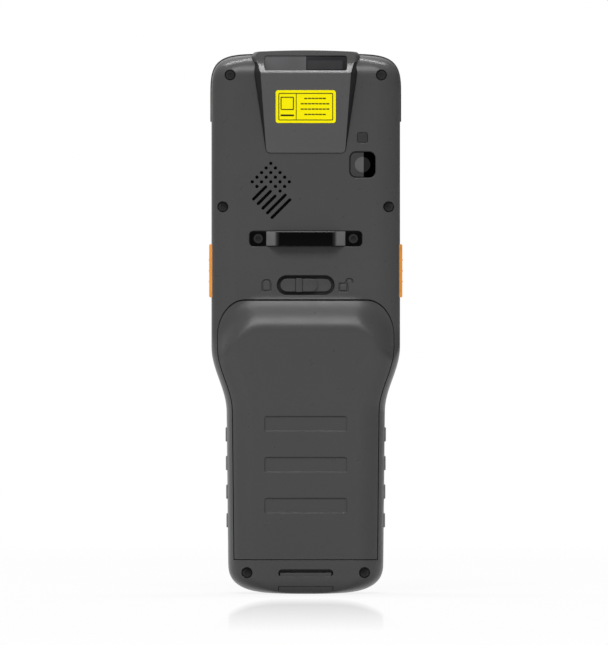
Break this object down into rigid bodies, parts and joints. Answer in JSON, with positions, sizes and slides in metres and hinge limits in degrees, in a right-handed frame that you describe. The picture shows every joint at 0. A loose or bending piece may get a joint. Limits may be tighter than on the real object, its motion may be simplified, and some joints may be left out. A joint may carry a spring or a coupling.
{
  "type": "portable barcode data terminal",
  "caption": "Upright handheld barcode data terminal: dark plastic shells, raised scan head, latched battery cover, strap bridge, touch screen and keypad.",
  "frame": {"origin": "middle of the overall box at the foot, with the terminal standing upright on its foot", "axes": "+X across the body (right as seen from the back), +Y out of the screen, -Y out of the battery cover, +Z from the foot to the scan head"},
  "size_m": [0.0756, 0.0296, 0.2115],
  "materials": {
    "shell_dark": "fine sparked texture, dark grey",
    "shell_front": "fine sparked texture, dark grey",
    "bumper_rubber": "satin overmould",
    "seal_rubber": "matte",
    "screw_black": "black zinc",
    "scan_cover_plastic": "fine texture, a shade lighter than the shell",
    "window_tint": "dark tinted, polished",
    "engine_black": "satin black",
    "bracket_metal": "plain stamped",
    "label_yellow": "printed polyester",
    "camera_glass": "black tinted, polished",
    "flash_lens": "dark diffusing",
    "speaker_body": "matte",
    "mesh_metal": "black",
    "bridge_metal": "satin black",
    "latch_plastic": "fine texture",
    "spring_steel": "bright",
    "cover_plastic": "fine sparked texture, dark grey",
    "cell_wrap": "shrink wrap",
    "contact_gold": "gold flash",
    "key_orange": "satin orange",
    "switch_white": "moulded",
    "rib_rubber": "satin grey",
    "lens_glass": "black border, polished",
    "panel_dark": "switched off",
    "frame_metal": "cast magnesium look",
    "board_green": "solder mask",
    "can_steel": "tinned",
    "membrane_rubber": "translucent grey silicone",
    "socket_steel": "nickel",
    "flap_rubber": "matte",
    "key_dark": "satin dark grey",
    "key_grey": "satin mid grey",
    "key_green": "satin green",
    "key_red": "satin red",
    "key_blue": "satin blue"
  },
  "bodies": {
    "terminal": {"rear_housing": "shell_dark", "front_housing": "shell_front", "corner_bumper": "bumper_rubber", "housing_seal": "seal_rubber", "housing_screws": "screw_black", "scanner_cover": "scan_cover_plastic", "scan_window": "window_tint", "scan_engine": "engine_black", "scan_bracket": "bracket_metal", "asset_label": "label_yellow", "camera_window": "camera_glass", "camera_module": "engine_black", "flash_window": "flash_lens", "loudspeaker": "speaker_body", "speaker_mesh": "mesh_metal", "strap_bridge": "bridge_metal", "strap_bridge_screws": "screw_black", "latch_detent": "spring_steel", "battery_contacts": "contact_gold", "side_switches": "switch_white", "side_grips": "rib_rubber", "touch_lens": "lens_glass", "lens_gasket": "seal_rubber", "display_panel": "panel_dark", "mid_frame": "frame_metal", "main_board": "board_green", "shield_cans": "can_steel", "keypad_membrane": "membrane_rubber", "usb_socket": "socket_steel", "dock_contacts": "contact_gold", "vibration_motor": "can_steel"},
    "latch": {"latch_knob": "latch_plastic", "latch_slide": "latch_plastic"},
    "battery_pack": {"battery_cover": "cover_plastic", "battery_seal": "seal_rubber", "battery_cell": "cell_wrap"},
    "side_key_left_body": {"side_key_left": "key_orange"},
    "side_key_right_body": {"side_key_right": "key_orange"},
    "port_flap_body": {"port_flap": "flap_rubber"},
    "scan_key_body": {"scan_key": "key_orange"},
    "menu_key_body": {"menu_key": "key_green"},
    "back_key_body": {"back_key": "key_red"},
    "power_key_body": {"power_key": "key_red"},
    "function_key_1_body": {"function_key_1": "key_grey"},
    "function_key_2_body": {"function_key_2": "key_grey"},
    "function_key_3_body": {"function_key_3": "key_grey"},
    "function_key_4_body": {"function_key_4": "key_grey"},
    "digit_key_0_body": {"digit_key_0": "key_dark"},
    "digit_key_1_body": {"digit_key_1": "key_dark"},
    "digit_key_2_body": {"digit_key_2": "key_dark"},
    "digit_key_3_body": {"digit_key_3": "key_dark"},
    "digit_key_4_body": {"digit_key_4": "key_dark"},
    "digit_key_5_body": {"digit_key_5": "key_dark"},
    "digit_key_6_body": {"digit_key_6": "key_dark"},
    "digit_key_7_body": {"digit_key_7": "key_dark"},
    "digit_key_8_body": {"digit_key_8": "key_dark"},
    "digit_key_9_body": {"digit_key_9": "key_dark"},
    "clear_key_body": {"clear_key": "key_orange"},
    "enter_key_body": {"enter_key": "key_blue"}
  },
  "joints": [
    {"name": "scan_key_press", "type": "slide", "parent": "terminal", "child": "scan_key_body", "axis": [0, -1, 0], "range_m": [0, 0.0008], "stiffness_N_per_m": 1500, "springref_m": -0.0004},
    {"name": "menu_key_press", "type": "slide", "parent": "terminal", "child": "menu_key_body", "axis": [0, -1, 0], "range_m": [0, 0.0008], "stiffness_N_per_m": 1500, "springref_m": -0.0004},
    {"name": "back_key_press", "type": "slide", "parent": "terminal", "child": "back_key_body", "axis": [0, -1, 0], "range_m": [0, 0.0008], "stiffness_N_per_m": 1500, "springref_m": -0.0004},
    {"name": "power_key_press", "type": "slide", "parent": "terminal", "child": "power_key_body", "axis": [0, -1, 0], "range_m": [0, 0.0008], "stiffness_N_per_m": 1500, "springref_m": -0.0004},
    {"name": "function_key_1_press", "type": "slide", "parent": "terminal", "child": "function_key_1_body", "axis": [0, -1, 0], "range_m": [0, 0.0008], "stiffness_N_per_m": 1500, "springref_m": -0.0004},
    {"name": "function_key_2_press", "type": "slide", "parent": "terminal", "child": "function_key_2_body", "axis": [0, -1, 0], "range_m": [0, 0.0008], "stiffness_N_per_m": 1500, "springref_m": -0.0004},
    {"name": "function_key_3_press", "type": "slide", "parent": "terminal", "child": "function_key_3_body", "axis": [0, -1, 0], "range_m": [0, 0.0008], "stiffness_N_per_m": 1500, "springref_m": -0.0004},
    {"name": "function_key_4_press", "type": "slide", "parent": "terminal", "child": "function_key_4_body", "axis": [0, -1, 0], "range_m": [0, 0.0008], "stiffness_N_per_m": 1500, "springref_m": -0.0004},
    {"name": "digit_key_0_press", "type": "slide", "parent": "terminal", "child": "digit_key_0_body", "axis": [0, -1, 0], "range_m": [0, 0.0008], "stiffness_N_per_m": 1500, "springref_m": -0.0004},
    {"name": "digit_key_1_press", "type": "slide", "parent": "terminal", "child": "digit_key_1_body", "axis": [0, -1, 0], "range_m": [0, 0.0008], "stiffness_N_per_m": 1500, "springref_m": -0.0004},
    {"name": "digit_key_2_press", "type": "slide", "parent": "terminal", "child": "digit_key_2_body", "axis": [0, -1, 0], "range_m": [0, 0.0008], "stiffness_N_per_m": 1500, "springref_m": -0.0004},
    {"name": "digit_key_3_press", "type": "slide", "parent": "terminal", "child": "digit_key_3_body", "axis": [0, -1, 0], "range_m": [0, 0.0008], "stiffness_N_per_m": 1500, "springref_m": -0.0004},
    {"name": "digit_key_4_press", "type": "slide", "parent": "terminal", "child": "digit_key_4_body", "axis": [0, -1, 0], "range_m": [0, 0.0008], "stiffness_N_per_m": 1500, "springref_m": -0.0004},
    {"name": "digit_key_5_press", "type": "slide", "parent": "terminal", "child": "digit_key_5_body", "axis": [0, -1, 0], "range_m": [0, 0.0008], "stiffness_N_per_m": 1500, "springref_m": -0.0004},
    {"name": "digit_key_6_press", "type": "slide", "parent": "terminal", "child": "digit_key_6_body", "axis": [0, -1, 0], "range_m": [0, 0.0008], "stiffness_N_per_m": 1500, "springref_m": -0.0004},
    {"name": "digit_key_7_press", "type": "slide", "parent": "terminal", "child": "digit_key_7_body", "axis": [0, -1, 0], "range_m": [0, 0.0008], "stiffness_N_per_m": 1500, "springref_m": -0.0004},
    {"name": "digit_key_8_press", "type": "slide", "parent": "terminal", "child": "digit_key_8_body", "axis": [0, -1, 0], "range_m": [0, 0.0008], "stiffness_N_per_m": 1500, "springref_m": -0.0004},
    {"name": "digit_key_9_press", "type": "slide", "parent": "terminal", "child": "digit_key_9_body", "axis": [0, -1, 0], "range_m": [0, 0.0008], "stiffness_N_per_m": 1500, "springref_m": -0.0004},
    {"name": "clear_key_press", "type": "slide", "parent": "terminal", "child": "clear_key_body", "axis": [0, -1, 0], "range_m": [0, 0.0008], "stiffness_N_per_m": 1500, "springref_m": -0.0004},
    {"name": "enter_key_press", "type": "slide", "parent": "terminal", "child": "enter_key_body", "axis": [0, -1, 0], "range_m": [0, 0.0008], "stiffness_N_per_m": 1500, "springref_m": -0.0004},
    {"name": "side_key_left_press", "type": "slide", "parent": "terminal", "child": "side_key_left_body", "axis": [1, 0, 0], "range_m": [0, 0.0006], "stiffness_N_per_m": 2500, "springref_m": -0.0003},
    {"name": "side_key_right_press", "type": "slide", "parent": "terminal", "child": "side_key_right_body", "axis": [-1, 0, 0], "range_m": [0, 0.0006], "stiffness_N_per_m": 2500, "springref_m": -0.0003},
    {"name": "latch_slide_travel", "type": "slide", "parent": "terminal", "child": "latch", "axis": [1, 0, 0], "range_m": [0, 0.005]},
    {"name": "battery_pack_tilt", "type": "hinge", "parent": "terminal", "child": "battery_pack", "pos_m": [0, -0.01475, 0.0134], "axis": [1, 0, 0], "range_deg": [0, 25]},
    {"name": "port_flap_hinge", "type": "hinge", "parent": "terminal", "child": "port_flap_body", "pos_m": [0, -0.0005, 0.0003], "axis": [-1, 0, 0], "range_deg": [0, 80]}
  ]
}
